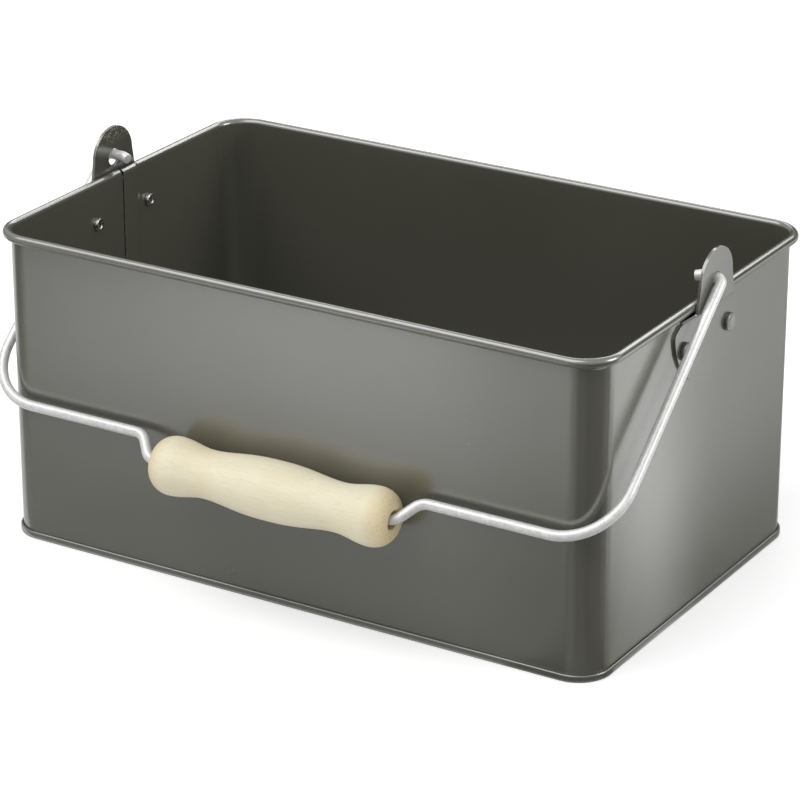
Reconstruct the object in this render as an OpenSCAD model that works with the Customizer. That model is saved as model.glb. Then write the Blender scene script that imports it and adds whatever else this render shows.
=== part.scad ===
// Open sheet-steel tool caddy with a drop bail handle and a turned wooden grip.
// X runs along the long walls, Y across them, Z up. The origin is the centre of
// the base, on the surface that the caddy stands on. Sizes are in millimetres.

/* [Box] */
// Length over the two short walls
box_l = 288; // [220:1:340]
// Width over the two long walls
box_w = 180; // [150:1:200]
// Height from the table to the top of the rim
box_h = 140; // [110:1:160]
// Outside radius of the four upright corners
corner_r = 14; // [10:1:24]
// Thickness of the box sheet
sheet_t = 0.4; // [0.35:0.05:0.6]
// Outside diameter of the rolled rim
bead_d = 4; // [3.4:0.1:4.8]
// Height of the curl's flat lip below the rolled rim
lip_h = 0.8; // [0.4:0.1:1.6]
// Height of the folded seam around the base
seam_h = 3.2; // [2.8:0.1:5]
// Overlap of the sheet's two ends in the side seam
lap_w = 10; // [6:1:14]
// Width of the nick where the two ends of the rolled rim meet
nick_w = 0.8; // [0.4:0.1:1.6]

/* [Ears] */
// Thickness of the ear plates
ear_t = 1.2; // [0.9:0.1:1.5]
// Radius of the round lower edge
ear_r = 28; // [26:0.1:32]
// Depth of that round edge's centre below the rim
ear_drop = 9; // [8:0.1:11]
// Height of the tongue's tip above the rim
ear_rise = 19.5; // [18:0.1:24]
// Height of the tongue's round tip
tip_h = 13; // [11:0.1:15]
// Width of the tongue where its round tip begins
tongue_w = 28.2; // [24:0.1:32]
// Width of the tongue at its neck, just under the rim
neck_w = 32; // [30:0.1:36]
// Height of the handle hole's centre above the rim
hole_rise = 5.5; // [5:0.1:7]
// Diameter of the handle hole
hole_d = 7.6; // [7.4:0.1:9]
// Gap between the rolled rim and the tongue
rim_gap = 0.3; // [0.2:0.1:0.8]

/* [Rivets] */
// Distance between the two rivets of an ear
rivet_pitch = 39; // [36:0.5:42]
// Depth of the rivets below the rim
rivet_drop = 19.4; // [18:0.1:22]
// Diameter of the flat outside head
rivet_head_d = 7.8; // [6:0.1:9]
// Height of the flat outside head
rivet_head_h = 1.7; // [1.2:0.1:1.9]
// Diameter of the shank
rivet_shank_d = 4; // [3.4:0.1:4.4]
// Diameter of the hollow in the shank
rivet_hollow_d = 2.6; // [1.8:0.1:2.8]
// Diameter of the rolled ring on the inside
rivet_ring_d = 5.8; // [5.2:0.1:7]

/* [Bail] */
// Diameter of the handle wire
wire_d = 4.5; // [4:0.1:4.7]
// Distance from the hinge axis to the straight front run
bail_reach = 125.3; // [120:0.1:135]
// How much further out than the run the grip lies
crank_depth = 10.5; // [9:0.1:12]
// Distance from the middle to each crank's inner corner
crank_in = 60; // [59.8:0.1:61]
// Bend radius of the two large corners, at the wire's centre
bail_corner_r = 26; // [18:0.5:30]
// Bend radius of the four crank bends, at the wire's centre
crank_r = 7.5; // [6.6:0.1:8.4]
// Bend radius of the hooks, at the wire's centre
hook_r = 3; // [2.8:0.1:3.1]
// Gap between an ear and the handle's leg
leg_gap = 0.4; // [0.3:0.1:0.8]
// Length of the hook's tip beyond the inner face of the ear
tip_reach = 8.2; // [7.6:0.1:10]

/* [Grip] */
// Length of the wooden grip
grip_l = 115; // [108:0.5:115]
// How far the grip has slid from the middle of the handle
grip_shift = 2.5; // [-2.5:0.5:2.5]
// Diameter of the swell in the middle
grip_swell_d = 25.5; // [23:0.1:27]
// Diameter of the two waists
grip_waist_d = 20.7; // [18:0.1:22]
// Diameter of the two round ends
grip_end_d = 25.1; // [23:0.1:27]
// Diameter of the bore
bore_d = 8; // [7.8:0.1:9]
// Width of the chamfer at the mouths of the bore
mouth = 1; // [0.8:0.1:1.4]
// Gap between the grip and the wall that it leans on
rest_gap = 0.3; // [0.3:0.1:1]

/* [Hidden] */
$fn = 96;
eps = 0.01;
// How far a cutting shape reaches past what it cuts
spare = 1;
paint = "#5d5c52";
bead_r = bead_d / 2;
bead_z = box_h - bead_r;
lip_end_z = bead_z - sqrt(bead_r^2 - (bead_r - sheet_t)^2);
// How far the lip runs up into the curl
lip_lap = 0.25;
// How far the floor's edge stands in from the walls, inside the folded rim's inner edge
floor_in = 0.4 * corner_r;
tongue_x = box_l / 2 - sheet_t + bead_d + rim_gap;
jog_x = tongue_x - box_l / 2;
jog_top = box_h - bead_d;
// Inside radius of the two bends in the ear, and how far the plate leans between them
jog_bend = 0.5;
jog_turn = 55;
shoulder_r = 3.5;
// Depth of the shoulder's round centre below the centre of the round lower edge
shoulder_drop = 3.5;
// Play between the wire and the top of its hole
hook_play = 0.35;
hinge_z = box_h + hole_rise + hole_d / 2 - wire_d / 2 - hook_play;
hole_z = box_h + hole_rise;
rivet_z = box_h - rivet_drop;
rivet_fit = 0.05;
rivet_edge = 0.4;
leg_x = tongue_x + ear_t + leg_gap + wire_d / 2;
tip_x = tongue_x - tip_reach;
tip_l = 3.4;
// Turns whose sines and cosines are short decimals, so that the wire's runs meet exactly
tip_bend = atan2(0.28, 0.96);
crank_turn = atan2(4, 3);
tip_corner_x = tip_x + tip_l * cos(tip_bend);
crank_out = crank_in + crank_depth / tan(crank_turn);
grip_reach = bail_reach + crank_depth;
grip_r = max(grip_swell_d, grip_end_d) / 2;
rest_angle = acos((box_w / 2 + grip_r + rest_gap) / grip_reach);
// Places of the grip's waist and bulge, as shares of half its length
waist_at = 0.553;
bulge_at = 0.845;

// Sweeps a profile around the rounded rectangle of the walls. In the profile, x is
// the distance outwards from the wall's outer face and y is the height.
module around_box() {
    run_x = box_l - 2 * corner_r;
    run_y = box_w - 2 * corner_r;
    for (side = [0, 1]) rotate(180 * side) {
        translate([0, -box_w / 2, 0]) rotate([90, 0, -90])
            translate([0, 0, -run_x / 2]) linear_extrude(run_x) children();
        translate([box_l / 2, 0, 0]) rotate([90, 0, 0])
            translate([0, 0, -run_y / 2]) linear_extrude(run_y) children();
        translate([run_x / 2, run_y / 2, 0]) rotate_extrude(angle = 90)
            translate([corner_r, 0]) children();
        translate([run_x / 2, -run_y / 2, 0]) rotate(-90) rotate_extrude(angle = 90)
            translate([corner_r, 0]) children();
    }
}

// The rolled rim in section: a hollow tube whose last part turns in to the wall
// and ends in a short flat lip
module bead_section() {
    translate([bead_r - sheet_t, bead_z]) difference() {
        circle(bead_r);
        circle(bead_r - sheet_t);
        translate([-bead_d, -bead_d]) square([bead_d - bead_r + sheet_t, bead_d]);
    }
    translate([0, lip_end_z - lip_h]) square([sheet_t, lip_h + lip_lap]);
}

// Wall sheet in section: rim, wall, and the flange caught in the base seam
module wall_section() {
    bead_section();
    translate([-sheet_t, sheet_t]) square([sheet_t, bead_z - sheet_t]);
    translate([-sheet_t, sheet_t]) square([3 * sheet_t, sheet_t]);
    translate([sheet_t, sheet_t]) square([sheet_t, seam_h - 2 * sheet_t]);
}

// Base sheet in section: the pan's edge, folded up and over the wall's flange
module base_section() {
    translate([-corner_r / 2, 0]) square([corner_r / 2 + 3 * sheet_t, sheet_t]);
    translate([2 * sheet_t, 0]) square([sheet_t, seam_h]);
    translate([0, seam_h - sheet_t]) square([3 * sheet_t, sheet_t]);
    translate([0, 2 * sheet_t]) square([sheet_t, seam_h - 2 * sheet_t]);
}

// Puts its children at one rivet of the right-hand ear, side 1 behind and -1 in front.
// Z points outwards from the wall's outer face.
module at_rivet(side) {
    translate([box_l / 2, side * rivet_pitch / 2, rivet_z]) rotate([0, 90, 0]) children();
}

// Puts a right-hand piece on the left-hand wall
module on_left() {
    mirror([1, 0, 0]) children();
}

module rivet_holes() {
    for (side = [-1, 1]) at_rivet(side)
        cylinder(h = 2 * bead_d, r = rivet_shank_d / 2 + rivet_fit, center = true);
}

module side_wall() {
    color(paint) difference() {
        union() {
            around_box() wall_section();
            // The sheet's farther end, lapped over the nearer end on the inside
            translate([-box_l / 2 + sheet_t, 0, sheet_t])
                cube([sheet_t, lap_w, bead_z - sheet_t]);
        }
        // The two ends of the rolled rim meet with a small nick
        translate([-box_l / 2 - bead_d, 0, bead_z + bead_r / 4])
            cube([2 * bead_d, nick_w, bead_d]);
        rivet_holes();
        on_left() rivet_holes();
    }
}

module base_pan() {
    color(paint) {
        translate([floor_in - box_l / 2, floor_in - box_w / 2, 0])
            cube([box_l - 2 * floor_in, box_w - 2 * floor_in, sheet_t]);
        around_box() base_section();
    }
}

// Ear in section across the wall: flat plate, S-bend past the rim, upright tongue
module ear_section() {
    steps = 6;
    wide = jog_bend + ear_t;
    slope = (jog_x - (wide + jog_bend) * (1 - cos(jog_turn))) / sin(jog_turn);
    jog_bottom = jog_top - (wide + jog_bend) * sin(jog_turn) - slope * cos(jog_turn);
    up = [for (i = [0:steps]) jog_turn * i / steps];
    down = [for (i = [steps:-1:0]) up[i]];
    lean = concat(up, down);
    bend = concat(
        [for (a = up) [box_l / 2 + wide * (1 - cos(a)), jog_bottom + wide * sin(a)]],
        [for (a = down) [tongue_x - jog_bend * (1 - cos(a)), jog_top - jog_bend * sin(a)]]);
    bottom = box_h - ear_drop - ear_r - spare;
    top = box_h + ear_rise + spare;
    polygon(concat(
        [[box_l / 2, bottom]],
        bend,
        [[tongue_x, top], [tongue_x + ear_t, top]],
        [for (i = [len(bend) - 1:-1:0]) bend[i] + ear_t * [cos(lean[i]), -sin(lean[i])]],
        [[box_l / 2 + ear_t, bottom]]));
}

// Right half of the ear's outline, from the bottom up to the tip
function ear_half() =
    let (
        arc_z = box_h - ear_drop,
        corner = [sqrt((ear_r - shoulder_r)^2 - shoulder_drop^2), arc_z - shoulder_drop],
        arc_end = atan2(-shoulder_drop, corner[0]),
        neck = [neck_w / 2, jog_top],
        reach = norm(neck - corner),
        line_a = atan2(neck[1] - corner[1], neck[0] - corner[0]) - acos(shoulder_r / reach),
        tip_z = box_h + ear_rise - tip_h)
    concat(
        [for (a = [-90:4:arc_end]) [ear_r * cos(a), arc_z + ear_r * sin(a)]],
        [for (i = [0:6]) let (a = arc_end + (line_a - arc_end) * i / 6)
            corner + shoulder_r * [cos(a), sin(a)]],
        [neck],
        [for (a = [0:5:90]) [tongue_w / 2 * cos(a), tip_z + tip_h * sin(a)]]);

module ear() {
    half = ear_half();
    n = len(half);
    color(paint) difference() {
        intersection() {
            rotate([90, 0, 0]) linear_extrude(3 * ear_r, center = true) ear_section();
            translate([box_l / 2 - spare, 0, 0]) rotate([90, 0, 90]) linear_extrude(3 * bead_d)
                polygon(concat(half, [for (i = [n - 2:-1:1]) [-half[i][0], half[i][1]]]));
        }
        translate([tongue_x - spare, 0, hole_z]) rotate([0, 90, 0])
            cylinder(h = ear_t + 2 * spare, d = hole_d);
        rivet_holes();
    }
}

// Tubular rivet, set from outside: flat head, shank, and the end rolled out inside
module rivet(side) {
    ring_r = (rivet_ring_d - rivet_hollow_d) / 4;
    ring_x = (rivet_ring_d + rivet_hollow_d) / 4;
    color(paint) at_rivet(side) difference() {
        union() {
            translate([0, 0, ear_t]) {
                cylinder(h = rivet_head_h - rivet_edge, d = rivet_head_d);
                translate([0, 0, rivet_head_h - rivet_edge])
                    cylinder(h = rivet_edge, d1 = rivet_head_d, d2 = rivet_head_d - 2 * rivet_edge);
            }
            translate([0, 0, -sheet_t - ring_r])
                cylinder(h = sheet_t + ring_r + ear_t + rivet_edge, d = rivet_shank_d);
            translate([0, 0, -sheet_t - ring_r]) {
                rotate_extrude() translate([ring_x, 0]) circle(ring_r);
                rotate_extrude() translate([ring_x - ring_r, 0]) square([2 * ring_r, ring_r]);
            }
        }
        translate([0, 0, -bead_d]) cylinder(h = bead_d + ear_t, d = rivet_hollow_d);
    }
}

// Corners of half the wire in its own plane, from the middle of the grip out to the
// hook's tip: X along the hinge, Y away from it
wire_points = [
    [0, grip_reach],
    [crank_in, grip_reach],
    [crank_out, bail_reach],
    [leg_x, bail_reach],
    [leg_x, 0],
    [tip_corner_x, 0],
    [tip_x, tip_l * sin(tip_bend)]];
// Bend radius and angle at each corner between the two ends, left turns positive
wire_radii = [crank_r, crank_r, bail_corner_r, hook_r, 2 * hook_r];
wire_turns = [-crank_turn, crank_turn, -90, -90, -tip_bend];

// How much of the straight runs beside corner i its bend takes up
function bend_cut(i) = i < 1 || i > len(wire_turns) ? 0
    : wire_radii[i - 1] * tan(abs(wire_turns[i - 1]) / 2);

// One round bend that starts at the origin along X. It is a quarter turn, cut off
// square where the turn ends, so that it meets the next run face to face.
module wire_bend(radius, turn) {
    far = radius + wire_d;
    scale([1, sign(turn), 1]) translate([0, radius, 0]) difference() {
        rotate(-90) rotate_extrude(angle = 90) translate([radius, 0]) circle(d = wire_d);
        if (abs(turn) < 90) rotate(abs(turn)) translate([0, -far, -wire_d])
            cube([far, 2 * far, 2 * wire_d]);
    }
}

// Draws the wire from run i on, along X, each piece starting where the last one ends
module bent_wire(i = 0) {
    run = norm(wire_points[i + 1] - wire_points[i]) - bend_cut(i) - bend_cut(i + 1);
    rotate([0, 90, 0]) cylinder(h = run, d = wire_d);
    if (i < len(wire_turns)) translate([run, 0, 0]) {
        turn = wire_turns[i];
        centre = [0, sign(turn) * wire_radii[i], 0];
        wire_bend(wire_radii[i], turn);
        translate(centre) rotate(turn) translate(-centre) bent_wire(i + 1);
    }
}

module bail_wire() {
    color("#c9ccce") translate([0, 0, hinge_z]) rotate([180 + rest_angle, 0, 0])
        for (side = [0, 1]) mirror([side, 0, 0]) translate(wire_points[0]) bent_wire();
}

// Radius of the grip at a distance from its middle
function grip_radius(s) =
    let (
        half = grip_l / 2,
        waist = waist_at * half,
        bulge = bulge_at * half,
        swell_r = grip_swell_d / 2,
        waist_r = grip_waist_d / 2,
        end_r = grip_end_d / 2,
        face_r = bore_d / 2 + mouth + 0.5)
    s <= waist ? waist_r + (swell_r - waist_r) * (1 + cos(180 * (s / waist)^1.3)) / 2
    : s <= bulge ? waist_r + (end_r - waist_r) * (1 - cos(180 * (s - waist) / (bulge - waist))) / 2
    : face_r + (end_r - face_r) * sqrt(max(0, 1 - ((s - bulge) / (half - bulge))^2));

module grip() {
    half = grip_l / 2;
    body = [for (s = [0:3:bulge_at * half]) s];
    dome = [for (a = [10:10:90]) (bulge_at + (1 - bulge_at) * sin(a)) * half];
    side = concat(body, dome);
    color("#e8dcc0")
        translate([grip_shift, 0, hinge_z]) rotate([180 + rest_angle, 0, 0])
        translate([0, grip_reach, 0]) rotate([0, 90, 0]) difference() {
            rotate_extrude() polygon(concat(
                [[0, -half]],
                [for (i = [len(side) - 1:-1:1]) [grip_radius(side[i]), -side[i]]],
                [for (s = side) [grip_radius(s), s]],
                [[0, half]]));
            cylinder(h = grip_l + 2 * spare, d = bore_d, center = true);
            for (end = [-1, 1]) scale([1, 1, end]) translate([0, 0, half - mouth])
                cylinder(h = mouth + eps, d1 = bore_d, d2 = bore_d + 2 * mouth + 2 * eps);
        }
}

side_wall();
base_pan();
on_left() ear();  // ear_left
ear();  // ear_right
on_left() rivet(-1);  // rivet_left_front
on_left() rivet(1);  // rivet_left_back
rivet(-1);  // rivet_right_front
rivet(1);  // rivet_right_back
bail_wire();
grip();
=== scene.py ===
from math import acos, atan2, cos, degrees, hypot, pi, radians, sin, sqrt, tan

import bpy
from mathutils import Matrix, Vector


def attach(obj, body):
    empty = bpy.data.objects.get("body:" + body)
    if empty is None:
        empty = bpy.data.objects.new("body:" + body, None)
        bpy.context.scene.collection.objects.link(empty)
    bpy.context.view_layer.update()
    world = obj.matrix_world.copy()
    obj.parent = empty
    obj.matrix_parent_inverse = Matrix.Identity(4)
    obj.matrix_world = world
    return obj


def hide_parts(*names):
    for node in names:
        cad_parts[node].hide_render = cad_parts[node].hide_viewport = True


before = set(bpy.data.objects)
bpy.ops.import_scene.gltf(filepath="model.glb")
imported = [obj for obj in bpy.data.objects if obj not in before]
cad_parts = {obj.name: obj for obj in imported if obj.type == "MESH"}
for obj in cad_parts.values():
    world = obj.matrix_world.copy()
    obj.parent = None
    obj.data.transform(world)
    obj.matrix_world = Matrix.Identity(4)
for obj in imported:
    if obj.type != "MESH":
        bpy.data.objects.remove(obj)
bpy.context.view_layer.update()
mm = 0.001


# ---------------------------------------------------------------- the table and lights
# The caddy stands on a white table in a bright white room. Two large soft boxes and a
# long strip behind give the sheet its sheen, and graded cards, seen only in the gloss,
# paint shade and highlights into what it mirrors.
def clear_tree(block, ending="ShaderNodeOutputMaterial"):
    """Empties a material's or the world's nodes, and gives them, their links and an output."""
    block.use_nodes = True
    nodes, links = block.node_tree.nodes, block.node_tree.links
    nodes.clear()
    return nodes, links, nodes.new(ending)


def seen_share(nodes, links):
    """One for what is seen straight, in a gloss or through glass; nought for light that falls."""
    path = nodes.new("ShaderNodeLightPath")
    share = path.outputs["Is Camera Ray"]
    for kind in ("Is Glossy Ray", "Is Transmission Ray"):
        either = nodes.new("ShaderNodeMath")
        either.operation = "MAXIMUM"
        links.new(share, either.inputs[0])
        links.new(path.outputs[kind], either.inputs[1])
        share = either.outputs[0]
    return share


def lay_table():
    table_white, table_glow = (0.78, 0.78, 0.78, 1), 0.4
    bpy.ops.object.select_all(action="DESELECT")
    bpy.ops.mesh.primitive_plane_add(size=8)
    table = bpy.context.object
    table.name = "table_top"
    paint = bpy.data.materials.new("white_table")
    nodes, links, out = clear_tree(paint)
    both = nodes.new("ShaderNodeAddShader")
    matt = nodes.new("ShaderNodeBsdfDiffuse")
    matt.inputs["Color"].default_value = table_white
    glow = nodes.new("ShaderNodeEmission")
    level = nodes.new("ShaderNodeMath")
    level.operation = "MULTIPLY"
    level.inputs[1].default_value = table_glow
    links.new(seen_share(nodes, links), level.inputs[0])
    links.new(level.outputs[0], glow.inputs["Strength"])
    links.new(matt.outputs[0], both.inputs[0])
    links.new(glow.outputs[0], both.inputs[1])
    links.new(both.outputs[0], out.inputs["Surface"])
    table.data.materials.append(paint)


def light_room():
    room_light, room_white = 0.55, 1.0
    room = bpy.data.worlds.new("white_room")
    bpy.context.scene.world = room
    nodes, links, out = clear_tree(room, "ShaderNodeOutputWorld")
    pick = nodes.new("ShaderNodeMixShader")
    soft = nodes.new("ShaderNodeBackground")
    soft.inputs["Strength"].default_value = room_light
    white = nodes.new("ShaderNodeBackground")
    white.inputs["Strength"].default_value = room_white
    links.new(seen_share(nodes, links), pick.inputs[0])
    links.new(soft.outputs[0], pick.inputs[1])
    links.new(white.outputs[0], pick.inputs[2])
    links.new(pick.outputs[0], out.inputs["Surface"])


def hang_light(name, place, aim, width, height, power):
    lamp = bpy.data.lights.new(name, "AREA")
    lamp.shape = "RECTANGLE"
    lamp.size, lamp.size_y = width, height
    lamp.energy = power
    box = bpy.data.objects.new(name, lamp)
    bpy.context.scene.collection.objects.link(box)
    box.location = place
    box.rotation_euler = (Vector(aim) - Vector(place)).to_track_quat("-Z", "Y").to_euler()
    box.visible_camera = False


def lay_card(name, low, high, dark, turn=0, stand=False, pivot=(0, 0, 0), glow=0):
    """A graded card seen only in the gloss, a painted reflection: black for painted shade,
    or white by its glow for a painted highlight. It fills the box from low to high, and its
    cover runs from dark[0] to dark[1] over the first share dark[2] of its length or depth,
    whichever dark[3] names."""
    black_glow = 0.02
    bpy.ops.object.select_all(action="DESELECT")
    bpy.ops.mesh.primitive_plane_add(size=1)
    card = bpy.context.object
    card.name = name
    size = Vector(high) - Vector(low)
    middle = (Vector(high) + Vector(low)) / 2
    card.scale = (size.x, size.z if stand else size.y, 1)
    card.rotation_euler = (pi / 2 if stand else 0, 0, turn)
    card.location = Vector(pivot) + Matrix.Rotation(turn, 3, "Z") @ middle
    paint = bpy.data.materials.new(name)
    nodes, links, out = clear_tree(paint)
    both = nodes.new("ShaderNodeMixShader")
    face = nodes.new("ShaderNodeEmission")
    face.inputs["Strength"].default_value = max(glow, black_glow)
    clear = nodes.new("ShaderNodeBsdfTransparent")
    spot = nodes.new("ShaderNodeTexCoord")
    parts = nodes.new("ShaderNodeSeparateXYZ")
    fade = nodes.new("ShaderNodeMapRange")
    fade.interpolation_type = "SMOOTHSTEP"
    for key, value in (("From Min", -0.5), ("From Max", -0.5 + dark[2]),
                       ("To Min", dark[0]), ("To Max", dark[1])):
        fade.inputs[key].default_value = value
    links.new(spot.outputs["Object"], parts.inputs[0])
    links.new(parts.outputs[dark[3]], fade.inputs["Value"])
    links.new(fade.outputs["Result"], both.inputs[0])
    links.new(clear.outputs[0], both.inputs[1])
    links.new(face.outputs[0], both.inputs[2])
    links.new(both.outputs[0], out.inputs["Surface"])
    card.data.materials.append(paint)
    card.visible_camera = card.visible_diffuse = card.visible_shadow = False


def set_camera():
    bearing, rise, distance = radians(31.307), radians(22.603), 1539.74 * mm
    target = Vector((0, 0, 61.17 * mm))
    focal_px, picture_px, sensor_mm = 3574.34, 800, 36
    back = Vector((sin(bearing) * cos(rise), -cos(bearing) * cos(rise), sin(rise)))
    eye = bpy.data.cameras.new("camera")
    eye.sensor_width = sensor_mm
    eye.lens = focal_px * sensor_mm / picture_px
    camera = bpy.data.objects.new("camera", eye)
    bpy.context.scene.collection.objects.link(camera)
    camera.location = target + back * distance
    camera.rotation_euler = (-back).to_track_quat("-Z", "Y").to_euler()
    bpy.context.scene.camera = camera


lay_table()
light_room()
hang_light("soft_box_above", (-0.45, -0.85, 1.7), (0, 0, 0.06), 2.2, 1.4, 24)
hang_light("soft_box_right", (1.9, 0.5, 1.0), (0, 0, 0.06), 0.9, 0.9, 16)
hang_light("strip_behind", (-0.3, 1.9, 1.5), (0, 0, 0.1), 2.2, 0.5, 12)
# Both near walls mirror the table along one bearing, so a card whose side lies along it
# gives the wall an upright edge. These cards paint light and shade into the sheen: the fan
# at the front corner makes its dark band as painted shade, and the one white card, which
# glows though it is no lamp, paints a highlight on the right wall beside it.
along_view = -radians(28.4)
corner_mid, corner_face = (0.130, -0.076, 0), (0.1436, -0.079, 0)
lay_card("card_front", (-0.06, -1.3, 0.0008), (1.5, 0, 0.0008), (0, 0.45, 0.051, "X"),
         along_view, pivot=corner_mid)
lay_card("card_fan_a", (-0.02, -1.3, 0.0010), (1.5, 0, 0.0010), (0, 0.5, 0.026, "X"),
         radians(-10), pivot=corner_mid)
lay_card("card_fan_b", (-0.02, -1.3, 0.0011), (1.5, 0, 0.0011), (0, 0.78, 0.026, "X"),
         radians(8), pivot=corner_mid)
lay_card("card_corner", (0, -0.6, 0.0009), (1.5, 0, 0.0009), (0.85, 0.85, 1, "X"),
         radians(35), pivot=corner_face)
# Painted highlight: this card glows though it is no lamp, and only the gloss sees it
lay_card("painted_highlight_card", (-0.03, 0, 0.0002), (0.0125, 0.6, 0.0002), (0, 1, 0.68, "X"),
         along_view, pivot=corner_mid, glow=2.0)
lay_card("card_right", (0.004, -0.9, 0.0003), (0.6, 0, 0.0003), (0, 0.43, 0.05, "X"),
         along_view + pi, pivot=corner_mid)
# Painted shade, seen only in the gloss: these stand in for the shaded table next to the box,
# and darken the foot of each near wall, and the front wall towards its left end
lay_card("shade_card_foot_front", (-0.5, -0.37, 0.0006), (0.13, -0.092, 0.0006), (0, 0.66, 0.8, "Y"))
lay_card("shade_card_foot_right", (0.146, -0.08, 0.0004), (0.228, 0.4, 0.0004), (0.45, 0, 1, "X"))
lay_card("shade_card_foot_bright", (-0.02, -0.3, 0.0005), (0.08, 0.03, 0.0005), (0.6, 0, 1, "X"),
         along_view + pi - radians(20), pivot=corner_mid)
lay_card("shade_card_left", (-0.6, -1.0, 0.0002), (-0.12, -0.05, 0.0002), (1, 0, 1, "X"))
# Far and standing cards paint shade into what the rim, the ears and the inside mirror
lay_card("card_far_front", (-3, -3.4, 0.0001), (3, -0.9, 0.0001), (0.8, 0, 1, "Y"))
lay_card("card_stand_front", (-3, -3.4, 0), (3, -3.4, 1.4), (0.95, 0, 1, "Y"), stand=True)
lay_card("card_stand_right", (-3, -3.2, 0), (3, -3.2, 1.4), (0.9, 0, 1, "Y"),
         radians(90), stand=True)
lay_card("card_stand_left", (-3, 3, 0), (3, 3, 1.2), (0.8, 0, 1, "Y"), radians(90), stand=True)
lay_card("card_behind", (-2.8, 2.2, 0.2), (2.2, 2.2, 1.3), (1, 1, 1, "X"), stand=True)
set_camera()
bpy.context.scene.view_settings.view_transform = "Standard"


# ---------------------------------------------------------------- the side wall
# One strip of 0.4 mm steel sheet, bent round four corners and lapped on the
# left wall. Its top edge is curled outwards into a hollow rim that ends in a flat lip,
# and its bottom edge is turned out into a flange for the base seam. All is stove-painted.
box_l, box_w, box_h = 288 * mm, 180 * mm, 140 * mm
corner_r, corner_steps = 14 * mm, 14
sheet_t = 0.4 * mm
rim_r = 2 * mm
rim_z = box_h - rim_r
seam_h = 3.2 * mm
lap_w = 10 * mm
# The rim's nick at the lap: where its two curled ends stop
near_end, far_end = -0.4 * mm, 0.45 * mm
# The lip's flare below the curl, outwards and down in mm
lip_flare = (0.04, 0.3), (0.2, 0.6), (0.68, 1.08)


def start_line(name, point):
    """A new piece in edit mode, with one vertex at the point and that vertex selected."""
    bpy.ops.object.select_all(action="DESELECT")
    bpy.ops.mesh.primitive_plane_add(size=2 * mm)
    piece = bpy.context.object
    piece.name = name
    bpy.ops.object.mode_set(mode="EDIT")
    bpy.ops.mesh.select_mode(type="VERT")
    bpy.ops.mesh.merge(type="CENTER")
    bpy.ops.transform.translate(value=point)
    return piece


def pull(step):
    """Draws the selected vertices or edges out by the step."""
    bpy.ops.mesh.extrude_region_move(TRANSFORM_OT_translate={"value": Vector(step)})


def draw_line(name, points):
    """A bent line through the points, drawn from its first point and selected whole."""
    piece = start_line(name, points[0])
    for a, b in zip(points, points[1:]):
        pull(Vector(b) - Vector(a))
    bpy.ops.mesh.select_all(action="SELECT")
    return piece


def turn(degrees_round, centre, axis, steps):
    """Sweeps the selected line counter-clockwise about the axis."""
    bpy.ops.mesh.spin(steps=steps, angle=radians(degrees_round), center=centre,
                      axis=-Vector(axis))


def arc(centre, radius, start, end, steps):
    """Points of a round bend in a section, where x is outwards and y is up."""
    return [(centre[0] + radius * cos(radians(start + (end - start) * i / steps)),
             centre[1] + radius * sin(radians(start + (end - start) * i / steps)))
            for i in range(steps + 1)]


def select_where(piece, kind, test):
    """In edit mode, selects the faces or vertices whose middle passes the test."""
    bpy.ops.mesh.select_mode(type="VERT")
    bpy.ops.mesh.select_all(action="DESELECT")
    bpy.ops.object.mode_set(mode="OBJECT")
    if kind == "FACE":
        for face in piece.data.polygons:
            face.select = test(face.center)
    if kind == "VERT":
        for vert in piece.data.vertices:
            vert.select = test(vert.co)
    bpy.ops.object.mode_set(mode="EDIT")
    bpy.ops.mesh.select_mode(type=kind)


def finish_sheet(piece, thickness, edge_slot=0):
    """Gives a folded sheet its thickness, half to each side, and smooths its bends."""
    bpy.ops.object.mode_set(mode="OBJECT")
    wall = piece.modifiers.new("thickness", "SOLIDIFY")
    wall.thickness, wall.offset, wall.use_even_offset = thickness, 0, True
    wall.material_offset_rim = edge_slot
    bpy.ops.object.modifier_apply(modifier=wall.name)
    bpy.ops.object.shade_smooth_by_angle(angle=radians(32))


def rim_corner(side_x, side_y):
    return Vector((side_x * (box_l / 2 - corner_r), side_y * (box_w / 2 - corner_r), 0))


def go_round():
    """Draws the line round the four corners, from the left wall's front end to its back end."""
    length, width = box_l - 2 * corner_r, box_w - 2 * corner_r
    turn(90, rim_corner(-1, -1), (0, 0, 1), corner_steps)
    pull((length, 0, 0))
    turn(90, rim_corner(1, -1), (0, 0, 1), corner_steps)
    pull((0, width, 0))
    turn(90, rim_corner(1, 1), (0, 0, 1), corner_steps)
    pull((-length, 0, 0))
    turn(90, rim_corner(-1, 1), (0, 0, 1), corner_steps)


def wall_section():
    """The sheet's middle line from the flange up to the lip: outwards and up."""
    half = sheet_t / 2
    flange_top = seam_h - 1.2 * sheet_t
    foot = 1.5 * sheet_t
    curl_end = 180 - degrees(acos((rim_r - sheet_t - half) / (rim_r - half)))
    curl = arc((rim_r - sheet_t, rim_z), rim_r - half, 180, -curl_end, 22)
    lip_top = curl[-1]
    return ([(foot, flange_top)]
            + arc((foot - half, foot + half), half, 0, -90, 3)
            + arc((0, foot + half), half, -90, -180, 3)
            + [(-half, seam_h), (-half, rim_z - 6 * mm)]
            + curl
            + [(lip_top[0] + out * mm, lip_top[1] - down * mm) for out, down in lip_flare])


left_x = -box_l / 2
section = wall_section()
lip_z = section[-1][1]
side_wall = draw_line("side_wall_sheet", [(left_x - out, lap_w, z) for out, z in section])
pull((0, near_end - lap_w, 0))
pull((0, -near_end - box_w / 2 + corner_r, 0))
go_round()
# The nearer end lies behind the farther one, with its curl and lip cut away
select_where(side_wall, "FACE", lambda c: 0 < c.y < lap_w and c.x < 0
             and (c.z > rim_z - 1.5 * mm or c.x < left_x - 0.01 * mm and c.z > seam_h))
bpy.ops.mesh.delete(type="FACE")
select_where(side_wall, "VERT", lambda c: abs(c.y - box_w / 2 + corner_r) < 0.01 * mm and c.x < 0)
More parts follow.
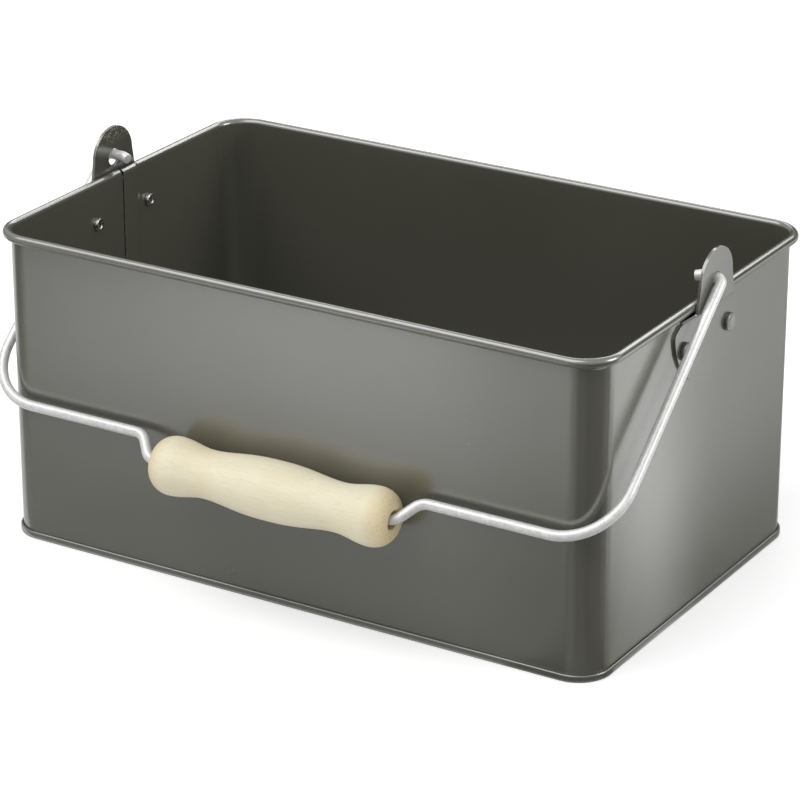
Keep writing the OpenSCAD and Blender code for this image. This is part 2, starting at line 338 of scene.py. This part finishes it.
# The farther end steps in, in an S-bend 3 mm long, and laps over the nearer one
pull((0, lap_w + 3 * mm - box_w / 2 + corner_r, 0))
for sheets_in, mm_along in ((0.3, 0.8), (0.65, 0.8), (0.65, 0.8), (0.3, 0.6)):
    pull((sheets_in * sheet_t, -mm_along * mm, 0))
pull((0, far_end - lap_w, 0))
bpy.ops.object.mode_set(mode="OBJECT")

# The lip's flared edge takes bright steel, a painted highlight, and it runs to a point
# under the rim at each corner
lip_highlight_faces = {face.index for face in side_wall.data.polygons
             if abs(face.center.z - (section[-1][1] + section[-2][1]) / 2) < 0.1 * mm}
dip, tip_at = 2.8 * mm, 36
for vert in side_wall.data.vertices:
    away = (max(abs(vert.co.x) - box_l / 2 + corner_r, 0),
            max(abs(vert.co.y) - box_w / 2 + corner_r, 0))
    if min(away) > 0 and abs(vert.co.z - lip_z) < 1.3 * mm and hypot(*away) < corner_r + 0.6 * mm:
        round_corner = degrees(atan2(away[1], away[0]))
        share = min(round_corner / tip_at, (90 - round_corner) / (90 - tip_at))
        depth = min((rim_z - 1.2 * mm - vert.co.z) / (1 * mm), 1)
        vert.co.z -= dip * share * depth


def wire_up(material):
    """Clears a material and gives its node list, its links and a fresh main shader."""
    nodes, links, out = clear_tree(material)
    shader = nodes.new("ShaderNodeBsdfPrincipled")
    links.new(shader.outputs[0], out.inputs["Surface"])
    return nodes, links, shader


def add_noise(nodes, links, scale, detail, rough, stretch=None):
    """Noise on the piece's own coordinates, its scale or stretch in features per metre."""
    spot = nodes.new("ShaderNodeTexCoord")
    noise = nodes.new("ShaderNodeTexNoise")
    noise.inputs["Scale"].default_value = scale
    noise.inputs["Detail"].default_value = detail
    noise.inputs["Roughness"].default_value = rough
    if stretch:
        fit = nodes.new("ShaderNodeMapping")
        fit.inputs["Scale"].default_value = stretch
        links.new(spot.outputs["Object"], fit.inputs["Vector"])
        links.new(fit.outputs["Vector"], noise.inputs["Vector"])
    else:
        links.new(spot.outputs["Object"], noise.inputs["Vector"])
    return noise


def spread(nodes, links, source, low, high, to_low, to_high):
    """Maps a share of one range to another."""
    fit = nodes.new("ShaderNodeMapRange")
    for name, value in (("From Min", low), ("From Max", high),
                        ("To Min", to_low), ("To Max", to_high)):
        fit.inputs[name].default_value = value
    links.new(source, fit.inputs["Value"])
    return fit.outputs["Result"]


def blend_colours(nodes, links, share, dark, light):
    mix = nodes.new("ShaderNodeMix")
    mix.data_type = "RGBA"
    mix.inputs["A"].default_value = (*dark, 1)
    mix.inputs["B"].default_value = (*light, 1)
    links.new(share, mix.inputs["Factor"])
    return mix.outputs["Result"]


def lay_over(nodes, links, under, share, top):
    """Covers a colour with another, plain or mixed, by the share."""
    mix = nodes.new("ShaderNodeMix")
    mix.data_type = "RGBA"
    links.new(under, mix.inputs["A"])
    if isinstance(top, tuple):
        mix.inputs["B"].default_value = (*top, 1)
    else:
        links.new(top, mix.inputs["B"])
    links.new(share, mix.inputs["Factor"])
    return mix.outputs["Result"]


def raise_bumps(nodes, links, shader, layers):
    """Stacks bumps on the shader, each from a height and its depth in metres."""
    last = None
    for height, depth in layers:
        bump = nodes.new("ShaderNodeBump")
        bump.inputs["Strength"].default_value = 1
        bump.inputs["Distance"].default_value = depth
        links.new(height, bump.inputs["Height"])
        if last:
            links.new(last.outputs["Normal"], bump.inputs["Normal"])
        last = bump
    links.new(last.outputs["Normal"], shader.inputs["Normal"])


def mix_paint(name, worn_above=None):
    """Glossy stove paint on sheet steel: even colour, fine orange peel, slack sheet and
    a little dust; above the given height it is worn through in specks."""
    strong_sheen = 2.45
    paint = bpy.data.materials.new(name)
    nodes, links, shader = wire_up(paint)
    shader.inputs["IOR"].default_value = strong_sheen
    cloud = add_noise(nodes, links, 14, 3, 0.5)
    speck = add_noise(nodes, links, 1400, 2, 0.6)
    tone = spread(nodes, links, cloud.outputs["Fac"], 0.3, 0.7, 0, 1)
    colour = blend_colours(nodes, links, tone, (0.080, 0.080, 0.061), (0.090, 0.090, 0.070))
    grain = nodes.new("ShaderNodeTexVoronoi")
    grain.inputs["Scale"].default_value = 60
    spot = nodes.new("ShaderNodeTexCoord")
    links.new(spot.outputs["Object"], grain.inputs["Vector"])
    dust = spread(nodes, links, grain.outputs["Distance"], 0.009, 0.014, 0.6, 0)
    colour = lay_over(nodes, links, colour, dust, (0.42, 0.41, 0.36))
    if worn_above:
        parts = nodes.new("ShaderNodeSeparateXYZ")
        links.new(spot.outputs["Object"], parts.inputs[0])
        high = spread(nodes, links, parts.outputs["Z"], worn_above, worn_above + 5 * mm, 0, 1)
        chips = add_noise(nodes, links, 1300, 2, 0.5)
        chip_share = spread(nodes, links, chips.outputs["Fac"], 0.56, 0.62, 0, 0.8)
        worn = nodes.new("ShaderNodeMath")
        worn.operation = "MULTIPLY"
        links.new(high, worn.inputs[0])
        links.new(chip_share, worn.inputs[1])
        colour = lay_over(nodes, links, colour, worn.outputs[0], (0.46, 0.45, 0.38))
    links.new(colour, shader.inputs["Base Color"])
    links.new(spread(nodes, links, speck.outputs["Fac"], 0.3, 0.7, 0.19, 0.25),
              shader.inputs["Roughness"])
    peel = add_noise(nodes, links, 900, 2, 0.5)
    slack = add_noise(nodes, links, 9, 2, 0.4)
    raise_bumps(nodes, links, shader, [(slack.outputs["Fac"], 0.5 * mm),
                                       (peel.outputs["Fac"], 0.008 * mm)])
    return paint


def mix_edge_highlight():
    """Bright bare steel on the sheet's cut edges, the lip's flare and the ears' rounded edges:
    a painted highlight, the lines of light along them.
    """
    edge = bpy.data.materials.new("edge_highlight")
    nodes, links, shader = wire_up(edge)
    shader.inputs["Metallic"].default_value = 1
    steel_mottle = add_noise(nodes, links, 260, 3, 0.6)
    share = spread(nodes, links, steel_mottle.outputs["Fac"], 0.35, 0.65, 0, 1)
    links.new(blend_colours(nodes, links, share, (0.50, 0.49, 0.43), (0.80, 0.79, 0.72)),
              shader.inputs["Base Color"])
    shader.inputs["Roughness"].default_value = 0.4
    raise_bumps(nodes, links, shader, [(steel_mottle.outputs["Fac"], 0.02 * mm)])
    return edge


sheet_paint = mix_paint("painted_sheet")
side_wall.data.materials.append(sheet_paint)
# Slot 1 is bright bare steel on the sheet's cut edges and the lip's flare: a painted highlight
side_wall.data.materials.append(mix_edge_highlight())
for face in side_wall.data.polygons:
    face.material_index = int(face.index in lip_highlight_faces)
finish_sheet(side_wall, sheet_t, edge_slot=1)
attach(side_wall, "box")
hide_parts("side_wall")


# ---------------------------------------------------------------- the base
# A flat pan of the same sheet. Its edge is turned up around the wall's flange and
# folded down over it, which makes the narrow band around the foot of the box.
def base_section():
    half = sheet_t / 2
    out = 2.5 * sheet_t
    fold_r = sheet_t
    return ([(-4 * mm, half)]
            + arc((out - fold_r, half + fold_r), fold_r, -90, 0, 4)
            + arc((out - fold_r, seam_h - half - fold_r), fold_r, 0, 90, 4)
            + arc((half + fold_r, seam_h - half - fold_r), fold_r, 90, 180, 4)
            + [(half, 2.4 * sheet_t)])


base = draw_line("base_pan_sheet", [(left_x - out, 0, z) for out, z in base_section()])
pull((0, -box_w / 2 + corner_r, 0))
go_round()
pull((0, -box_w / 2 + corner_r, 0))
bpy.ops.mesh.select_all(action="SELECT")
bpy.ops.mesh.remove_doubles(threshold=0.01 * mm)
floor_edge = box_l / 2 - 4 * mm, box_w / 2 - 4 * mm
select_where(base, "VERT", lambda c: c.z < 0.3 * mm and abs(c.x) < floor_edge[0] + 0.01 * mm
             and abs(c.y) < floor_edge[1] + 0.01 * mm)
bpy.ops.mesh.edge_face_add()
bpy.ops.mesh.inset(thickness=8 * mm, depth=0)
bpy.ops.mesh.select_all(action="SELECT")
bpy.ops.mesh.normals_make_consistent(inside=False)
finish_sheet(base, sheet_t)
base.data.materials.append(sheet_paint)
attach(base, "box")
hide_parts("base_pan")


# ---------------------------------------------------------------- the ears
# Two plates of 1.2 mm steel, blanked and drilled. Each lies flat on its wall, steps out
# past the rim in an S-bend and stands up as a round tongue with the handle's hole.
ear_t = 1.2 * mm
ear_r, ear_z = 28 * mm, box_h - 9 * mm
tongue_x = box_l / 2 - sheet_t + 2 * rim_r + 0.3 * mm
hole_z, hole_r = box_h + 5.5 * mm, 3.8 * mm
rivet_z, rivet_y = box_h - 19.4 * mm, 19.5 * mm
shank_r = 2 * mm
# The S-bend's inner face as heights and steps outwards: bend, slope, bend back
jog_top, jog_out = box_h - 4 * mm, tongue_x - box_l / 2
tight_r, wide_r, lean_by = 0.5 * mm, 0.5 * mm + ear_t, radians(55)
slope_l = (jog_out - (wide_r + tight_r) * (1 - cos(lean_by))) / sin(lean_by)
jog_low = jog_top - (wide_r + tight_r) * sin(lean_by) - slope_l * cos(lean_by)
jog = [(jog_low + wide_r * sin(lean_by * i / 5), wide_r * (1 - cos(lean_by * i / 5)))
       for i in range(6)]
jog += [(jog_top - tight_r * sin(lean_by * i / 4), jog_out - tight_r * (1 - cos(lean_by * i / 4)))
        for i in range(4, -1, -1)]


def ear_outline():
    """Half width of the ear's edge at each height, from the bottom to the tip."""
    round_r, round_y, round_z = 3.5 * mm, 24.249 * mm, ear_z - 3.5 * mm
    tip_z, tip_h, tip_w = box_h + 6.5 * mm, 13 * mm, 14.1 * mm
    low = [(ear_z + ear_r * sin(radians(a)), ear_r * cos(radians(a)))
           for a in (-87, -83, -78, -72, -66, -60, -54, -48, -42, -36, -30, -24, -18, -12, -8)]
    shoulder = [(round_z + round_r * sin(radians(a)), round_y + round_r * cos(radians(a)))
                for a in (2, 12, 22, 32, 42, 52, 62)]
    end_z, end_y = shoulder[-1]
    slope = [(z, end_y + (16 * mm - end_y) * (z - end_z) / (jog_top - end_z)) for z, out in jog]
    tip = [(tip_z + tip_h * sin(radians(a)), tip_w * cos(radians(a)))
           for a in (0, 8, 16, 24, 32, 40, 48, 55, 62, 68, 74, 79, 84, 87)]
    return low + shoulder + slope + tip


def step_out(z):
    """How far the plate has stepped out past the wall at a height."""
    if z <= jog[0][0]:
        return 0
    for (low, out), (high, next_out) in zip(jog, jog[1:]):
        if z <= high:
            return out + (next_out - out) * (z - low) / (high - low)
    return jog_out


def cut_hole(piece, place, radius):
    """Drills a round hole through a wall piece, along X."""
    bpy.ops.object.select_all(action="DESELECT")
    bpy.ops.mesh.primitive_cylinder_add(vertices=40, radius=radius, depth=12 * mm,
                                        location=place, rotation=(0, pi / 2, 0))
    drill = bpy.context.object
    drill.select_set(False)
    bpy.context.view_layer.objects.active = piece
    piece.select_set(True)
    cut = piece.modifiers.new("hole", "BOOLEAN")
    cut.operation, cut.solver, cut.object = "DIFFERENCE", "EXACT", drill
    bpy.ops.object.modifier_apply(modifier=cut.name)
    bpy.data.objects.remove(drill)


def make_ear(name, side, paint):
    rows = ear_outline()
    first_z, first_w = rows[0]
    plate = start_line(name, (side * box_l / 2, -first_w, first_z))
    plate.data.materials.append(paint)
    # Slot 1, bright steel for the edges, is a painted highlight
    plate.data.materials.append(bpy.data.materials["edge_highlight"])
    pull((0, 2 * first_w, 0))
    bpy.ops.mesh.select_all(action="SELECT")
    last_z, last_w, last_out = first_z, first_w, 0
    for z, half_w in rows[1:]:
        out = step_out(z)
        pull((side * (out - last_out), 0, z - last_z))
        bpy.ops.transform.resize(value=(1, half_w / last_w, 1), center_override=(0, 0, 0))
        last_z, last_w, last_out = z, half_w, out
    bpy.ops.mesh.select_all(action="SELECT")
    bpy.ops.mesh.normals_make_consistent(inside=False)
    bpy.ops.object.mode_set(mode="OBJECT")
    if plate.data.polygons[0].normal.x * side < 0:
        plate.data.flip_normals()
    wall = plate.modifiers.new("thickness", "SOLIDIFY")
    wall.thickness, wall.offset, wall.use_even_offset = ear_t, 1, True
    bpy.ops.object.modifier_apply(modifier=wall.name)
    cut_hole(plate, (side * (tongue_x + ear_t / 2), 0, hole_z), hole_r)
    for end in (-1, 1):
        cut_hole(plate, (side * box_l / 2, end * rivet_y, rivet_z), shank_r + 0.05 * mm)
    # The blanked edges are rounded and take the bright steel of slot 1, a painted highlight
    # along them
    edge = plate.modifiers.new("rounded_edge", "BEVEL")
    edge.width, edge.segments, edge.material = 0.35 * mm, 3, 1
    edge.limit_method, edge.angle_limit = "ANGLE", radians(50)
    bpy.ops.object.modifier_apply(modifier=edge.name)
    bpy.ops.object.shade_smooth_by_angle(angle=radians(35))
    flat = plate.modifiers.new("flat_faces", "WEIGHTED_NORMAL")
    flat.keep_sharp = True
    bpy.ops.object.modifier_apply(modifier=flat.name)
    return plate


ear_paint = mix_paint("painted_ear")
worn_paint = mix_paint("worn_ear", 151 * mm)
for side, hand in ((-1, "left"), (1, "right")):
    ear = make_ear("ear_plate_" + hand, side, worn_paint if hand == "left" else ear_paint)
    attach(ear, "box")
    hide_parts("ear_" + hand)


# ---------------------------------------------------------------- the rivets
# Four tubular steel rivets. The flat head outside is painted with the box; the hollow
# end inside is rolled back into a bare, bright ring with a dark bore.
head_r, head_h = 3.9 * mm, 1.7 * mm
ring_r, bore_r = 2.9 * mm, 1.3 * mm


def close_skin():
    """Welds a swept skin's seams, turns its faces outwards and leaves edit mode."""
    bpy.ops.mesh.select_all(action="SELECT")
    bpy.ops.mesh.remove_doubles(threshold=0.002 * mm)
    bpy.ops.mesh.normals_make_consistent(inside=False)
    bpy.ops.object.mode_set(mode="OBJECT")


def make_rivet(name, side, end):
    """A profile from the head's middle round to the bottom of the bore, spun about X."""
    roll = (ring_r - bore_r) / 2
    face = ear_t + head_h
    edge = 0.45 * mm
    inside = -sheet_t
    profile = ([(face - 0.5 * mm, 0), (face - 0.44 * mm, head_r * 0.35),
                (face - 0.1 * mm, head_r * 0.72)]
               + [(face - edge + edge * sin(radians(a)), head_r - edge + edge * cos(radians(a)))
                  for a in (90, 70, 50, 30, 10, 0)]
               + [(ear_t + 0.25 * mm, head_r), (ear_t, head_r - 0.2 * mm), (ear_t, shank_r),
                  (inside, shank_r), (inside, ring_r - 0.35 * mm)]
               + [(inside - roll + roll * sin(radians(a)), bore_r + roll + roll * cos(radians(a)))
                  for a in (60, 35, 10, -15, -40, -65, -90, -110, -130, -150, -170)]
               + [(inside, bore_r), (0.2 * mm, bore_r * 0.96), (0.9 * mm, bore_r * 0.7),
                  (1.0 * mm, 0)])
    x, y, z = side * box_l / 2, end * rivet_y, rivet_z
    rivet = draw_line(name, [(x + side * out, y, z + r) for out, r in profile])
    turn(360, (x, y, z), (1, 0, 0), 36)
    close_skin()
    bpy.ops.object.shade_smooth_by_angle(angle=radians(40))
    return rivet


def mix_rivet_steel():
    steel = bpy.data.materials.new("rivet_steel")
    nodes, links, shader = wire_up(steel)
    shader.inputs["Metallic"].default_value = 1
    grime = add_noise(nodes, links, 900, 3, 0.6)
    tone = spread(nodes, links, grime.outputs["Fac"], 0.35, 0.7, 0, 1)
    links.new(blend_colours(nodes, links, tone, (0.30, 0.30, 0.27), (0.62, 0.61, 0.56)),
              shader.inputs["Base Color"])
    links.new(spread(nodes, links, grime.outputs["Fac"], 0.3, 0.7, 0.18, 0.34),
              shader.inputs["Roughness"])
    raise_bumps(nodes, links, shader, [(grime.outputs["Fac"], 0.02 * mm)])
    return steel


rivet_steel = mix_rivet_steel()
for side, hand in ((-1, "left"), (1, "right")):
    for end, place in ((-1, "front"), (1, "back")):
        rivet = make_rivet("rivet_" + hand + "_" + place + "_set", side, end)
        rivet.data.materials.append(ear_paint)
        rivet.data.materials.append(rivet_steel)
        for face in rivet.data.polygons:
            if abs(face.center.x) < box_l / 2 + 0.1 * mm:
                face.material_index = 1
        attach(rivet, "box")
        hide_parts("rivet_" + hand + "_" + place)


# ---------------------------------------------------------------- the bail
# One length of 4.5 mm zinc-plated steel wire. It is cranked outwards where the grip
# sits, turned up at two wide corners, and hooked through the ears at both ends.
wire_r = 2.25 * mm
hinge = Vector((0, 0, 146.7 * mm))
reach, crank_depth = 125.3 * mm, 10.5 * mm
grip_reach = reach + crank_depth
crank_in, crank_out = 60 * mm, 67.875 * mm
# The handle hangs in until the grip's swell is just clear of the front wall
swell_r, rest_gap = 12.75 * mm, 0.3 * mm
lean = acos((box_w / 2 + swell_r + rest_gap) / grip_reach)
out_dir = Vector((0, -cos(lean), -sin(lean)))
across = Vector((1, 0, 0))
leg_x = tongue_x + ear_t + 0.4 * mm + wire_r
tip_x, tip_l = tongue_x - 8.2 * mm, 3.4 * mm


def bail_corners():
    """Corners of half the wire, from the middle of the grip to the hook's tip."""
    slant = atan2(0.28, 0.96)
    return [(0, grip_reach), (crank_in, grip_reach), (crank_out, reach), (leg_x, reach),
            (leg_x, 0), (tip_x + tip_l * cos(slant), 0), (tip_x, tip_l * sin(slant))]


def bend_wire():
    """Runs a round section from the left hook's tip to the right one's."""
    half = bail_corners()
    radii = [7.5 * mm, 7.5 * mm, 26 * mm, 3 * mm, 6 * mm]
    points = [(-x, y) for x, y in reversed(half[1:])] + half[1:]
    bends = radii[::-1] + radii
    points = [hinge + across * x + out_dir * y for x, y in points]
    start = (points[1] - points[0]).normalized()
    bpy.ops.object.select_all(action="DESELECT")
    bpy.ops.mesh.primitive_circle_add(vertices=28, radius=wire_r, fill_type="NGON")
    wire = bpy.context.object
    wire.name = "bail_wire_bent"
    facing = start.to_track_quat("Z", "X").to_matrix().to_4x4()
    wire.matrix_world = Matrix.Translation(points[0]) @ facing
    bpy.ops.object.transform_apply()
    bpy.ops.object.mode_set(mode="EDIT")
    bpy.ops.mesh.select_all(action="SELECT")
    # The straight runs are shortened by what the bends at their two ends take up
    used = 0
    for i in range(1, len(points)):
        here, there = points[i - 1], points[i]
        run = (there - here).normalized()
        length = (there - here).length - used
        if i == len(points) - 1:
            pull(run * length)
            break
        after = (points[i + 1] - there).normalized()
        angle = run.angle(after)
        radius = bends[i - 1]
        used = radius * tan(angle / 2)
        pull(run * (length - used))
        axis = run.cross(after).normalized()
        inwards = axis.cross(run)
        bpy.ops.mesh.spin(steps=max(4, round(degrees(angle) / 6)), angle=angle,
                          center=there - run * used + inwards * radius, axis=-axis)
    close_skin()
    edge = wire.modifiers.new("sheared_end", "BEVEL")
    edge.width, edge.segments = 0.35 * mm, 2
    edge.limit_method, edge.angle_limit = "ANGLE", radians(60)
    bpy.ops.object.modifier_apply(modifier=edge.name)
    bpy.ops.object.shade_smooth_by_angle(angle=radians(35))
    return wire


def mix_zinc():
    """Satin zinc plate: pale and chalky, finely mottled, with small dark specks."""
    zinc = bpy.data.materials.new("zinc_wire")
    nodes, links, shader = wire_up(zinc)
    shader.inputs["Metallic"].default_value = 0.3
    mottle = add_noise(nodes, links, 520, 4, 0.65)
    speck = add_noise(nodes, links, 1500, 2, 0.5)
    tone = spread(nodes, links, mottle.outputs["Fac"], 0.35, 0.65, 0, 1)
    base = blend_colours(nodes, links, tone, (0.68, 0.68, 0.66), (0.80, 0.81, 0.81))
    specks = spread(nodes, links, speck.outputs["Fac"], 0.62, 0.74, 0, 0.8)
    links.new(lay_over(nodes, links, base, specks, (0.30, 0.29, 0.25)),
              shader.inputs["Base Color"])
    links.new(spread(nodes, links, mottle.outputs["Fac"], 0.3, 0.7, 0.32, 0.44),
              shader.inputs["Roughness"])
    raise_bumps(nodes, links, shader, [(mottle.outputs["Fac"], 0.025 * mm),
                                       (speck.outputs["Fac"], 0.01 * mm)])
    return zinc


bail = bend_wire()
bail.data.materials.append(mix_zinc())
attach(bail, "bail")
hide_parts("bail_wire")


# ---------------------------------------------------------------- the grip
# A grip turned from pale close-grained wood, with a swell, two waists and round ends.
# It is drilled through and turns freely on the wire.
grip_l, grip_shift = 115 * mm, 2.5 * mm
grip_mid = hinge + out_dir * grip_reach + across * grip_shift
grip_bore_r, mouth = 4 * mm, 1 * mm
grip_half = grip_l / 2
waist, bulge = 0.553 * grip_half, 0.845 * grip_half


def grip_radius(s):
    """The turned radius at a distance from the middle: swell, waist, bulge, round end."""
    waist_r, end_r = 10.35 * mm, 12.55 * mm
    face_r = grip_bore_r + mouth + 0.5 * mm
    if s <= waist:
        return waist_r + (swell_r - waist_r) * (1 + cos(pi * (s / waist) ** 1.3)) / 2
    if s <= bulge:
        return waist_r + (end_r - waist_r) * (1 - cos(pi * (s - waist) / (bulge - waist))) / 2
    along = (s - bulge) / (grip_half - bulge)
    return face_r + (end_r - face_r) * sqrt(max(0, 1 - along ** 2))


def turn_grip():
    cut_step = 1.5 * mm
    side = [i * cut_step for i in range(int(bulge / cut_step) + 1)]
    side += [bulge + (grip_half - bulge) * sin(radians(a)) for a in range(6, 91, 6)]
    outline = [(-s, grip_radius(s)) for s in reversed(side)]
    outline += [(s, grip_radius(s)) for s in side[1:]]
    mouth_r = grip_bore_r + mouth
    bore = [(grip_half, mouth_r + 0.15 * mm), (grip_half - 0.12 * mm, mouth_r - 0.1 * mm),
            (grip_half - mouth, grip_bore_r), (grip_half - mouth - 0.2 * mm, grip_bore_r)]
    bore += [(-s, r) for s, r in reversed(bore)]
    outline += bore
    outline.append(outline[0])
    grip = draw_line("grip_turned", [grip_mid + Vector((s, 0, r)) for s, r in outline])
    turn(360, grip_mid, (1, 0, 0), 64)
    close_skin()
    bpy.ops.object.shade_smooth_by_angle(angle=radians(40))
    return grip


def mix_wood():
    """Pale beech: faint growth bands, short fine flecks, tan end grain with open pores."""
    wood = bpy.data.materials.new("turned_wood")
    nodes, links, shader = wire_up(wood)
    band = add_noise(nodes, links, 1, 3, 0.55, (9, 130, 130))
    fleck = add_noise(nodes, links, 1, 3, 0.6, (110, 1500, 1500))
    patch = add_noise(nodes, links, 45, 2, 0.5)
    tone = spread(nodes, links, band.outputs["Fac"], 0.3, 0.7, 0, 1)
    base = blend_colours(nodes, links, tone, (0.85, 0.78, 0.57), (0.90, 0.85, 0.66))
    flecks = spread(nodes, links, fleck.outputs["Fac"], 0.5, 0.75, 0, 0.45)
    worn = spread(nodes, links, patch.outputs["Fac"], 0.5, 0.75, 0, 0.5)
    spot = nodes.new("ShaderNodeTexCoord")
    parts = nodes.new("ShaderNodeSeparateXYZ")
    away = nodes.new("ShaderNodeMath")
    away.operation = "SUBTRACT"
    away.inputs[1].default_value = grip_mid.x
    length = nodes.new("ShaderNodeMath")
    length.operation = "ABSOLUTE"
    links.new(spot.outputs["Object"], parts.inputs[0])
    links.new(parts.outputs["X"], away.inputs[0])
    links.new(away.outputs[0], length.inputs[0])
    end_share = spread(nodes, links, length.outputs[0],
                       grip_half - 9 * mm, grip_half - 1 * mm, 0, 0.9)
    pores = add_noise(nodes, links, 1600, 2, 0.6)
    pore_share = spread(nodes, links, pores.outputs["Fac"], 0.6, 0.7, 0, 1)
    end_tone = blend_colours(nodes, links, pore_share, (0.78, 0.64, 0.38), (0.38, 0.25, 0.12))
    flecked = lay_over(nodes, links, base, flecks, (0.75, 0.61, 0.37))
    handled = lay_over(nodes, links, flecked, worn, (0.81, 0.69, 0.45))
    links.new(lay_over(nodes, links, handled, end_share, end_tone), shader.inputs["Base Color"])
    links.new(spread(nodes, links, fleck.outputs["Fac"], 0.3, 0.7, 0.5, 0.62),
              shader.inputs["Roughness"])
    raise_bumps(nodes, links, shader, [(fleck.outputs["Fac"], 0.04 * mm),
                                       (band.outputs["Fac"], 0.05 * mm)])
    return wood


grip = turn_grip()
grip.data.materials.append(mix_wood())
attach(grip, "grip_body")
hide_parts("grip")
